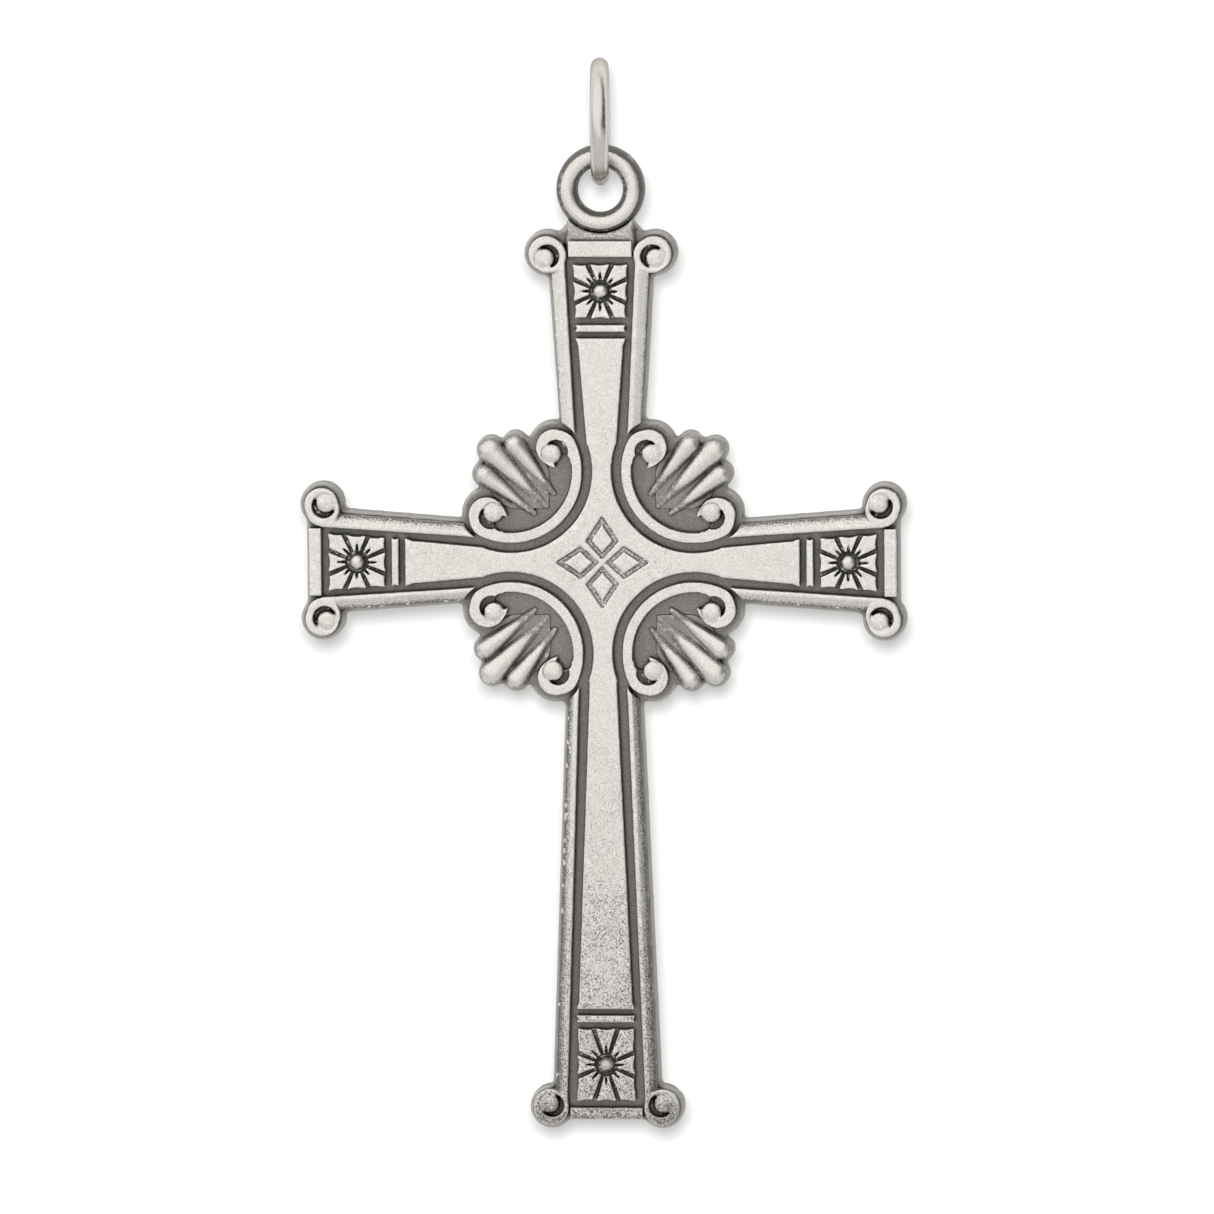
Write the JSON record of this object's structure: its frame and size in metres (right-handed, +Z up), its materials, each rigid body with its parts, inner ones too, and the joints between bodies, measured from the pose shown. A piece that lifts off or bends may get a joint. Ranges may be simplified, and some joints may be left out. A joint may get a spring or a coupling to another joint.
{
  "type": "cross pendant",
  "caption": "Antiqued silver cross pendant with scroll-ended arms and shell corners, swinging on a plain jump ring through its eyelet.",
  "frame": {"origin": "the chain's seat: the lowest point of a chain or cord lying in the top of the jump ring, in the middle of its wire", "axes": "+Z up along the shaft of the hanging cross, X along its arms, decorated face towards -Y and flat back towards +Y"},
  "size_m": [0.0372, 0.0078, 0.0661],
  "materials": {
    "bright_silver": "worn antiqued sterling silver, tumbled satin with fine pits",
    "dark_silver": "oxidised sterling silver in the recesses, rubbed bright on its outer edges and back",
    "polished_silver": "soft polished sterling silver"
  },
  "bodies": {
    "ring": {"jump_ring": "polished_silver"},
    "cross": {"eyelet": "bright_silver", "back_plate": "dark_silver", "field_cross": "bright_silver", "collar_bar_top": "bright_silver", "rosette_tile_top": "bright_silver", "rosette_boss_top": "bright_silver", "end_bar_top": "bright_silver", "scroll_rail_top_a": "bright_silver", "scroll_rail_top_b": "bright_silver", "collar_bar_right": "bright_silver", "rosette_tile_right": "bright_silver", "rosette_boss_right": "bright_silver", "end_bar_right": "bright_silver", "scroll_rail_right_a": "bright_silver", "scroll_rail_right_b": "bright_silver", "collar_bar_bottom": "bright_silver", "rosette_tile_bottom": "bright_silver", "rosette_boss_bottom": "bright_silver", "end_bar_bottom": "bright_silver", "scroll_rail_bottom_a": "bright_silver", "scroll_rail_bottom_b": "bright_silver", "collar_bar_left": "bright_silver", "rosette_tile_left": "bright_silver", "rosette_boss_left": "bright_silver", "end_bar_left": "bright_silver", "scroll_rail_left_a": "bright_silver", "scroll_rail_left_b": "bright_silver", "crescent_scroll_upper_right": "bright_silver", "shell_upper_right": "dark_silver", "crescent_scroll_upper_left": "bright_silver", "shell_upper_left": "dark_silver", "crescent_scroll_lower_left": "bright_silver", "shell_lower_left": "dark_silver", "crescent_scroll_lower_right": "bright_silver", "shell_lower_right": "dark_silver"}
  },
  "joints": [
    {"name": "ring_swing", "type": "hinge", "parent": "ring", "child": "cross", "pos_m": [0, 0, -0.00491], "axis": [0.9976, 0.0698, 0], "range_deg": [-60, 60]}
  ]
}
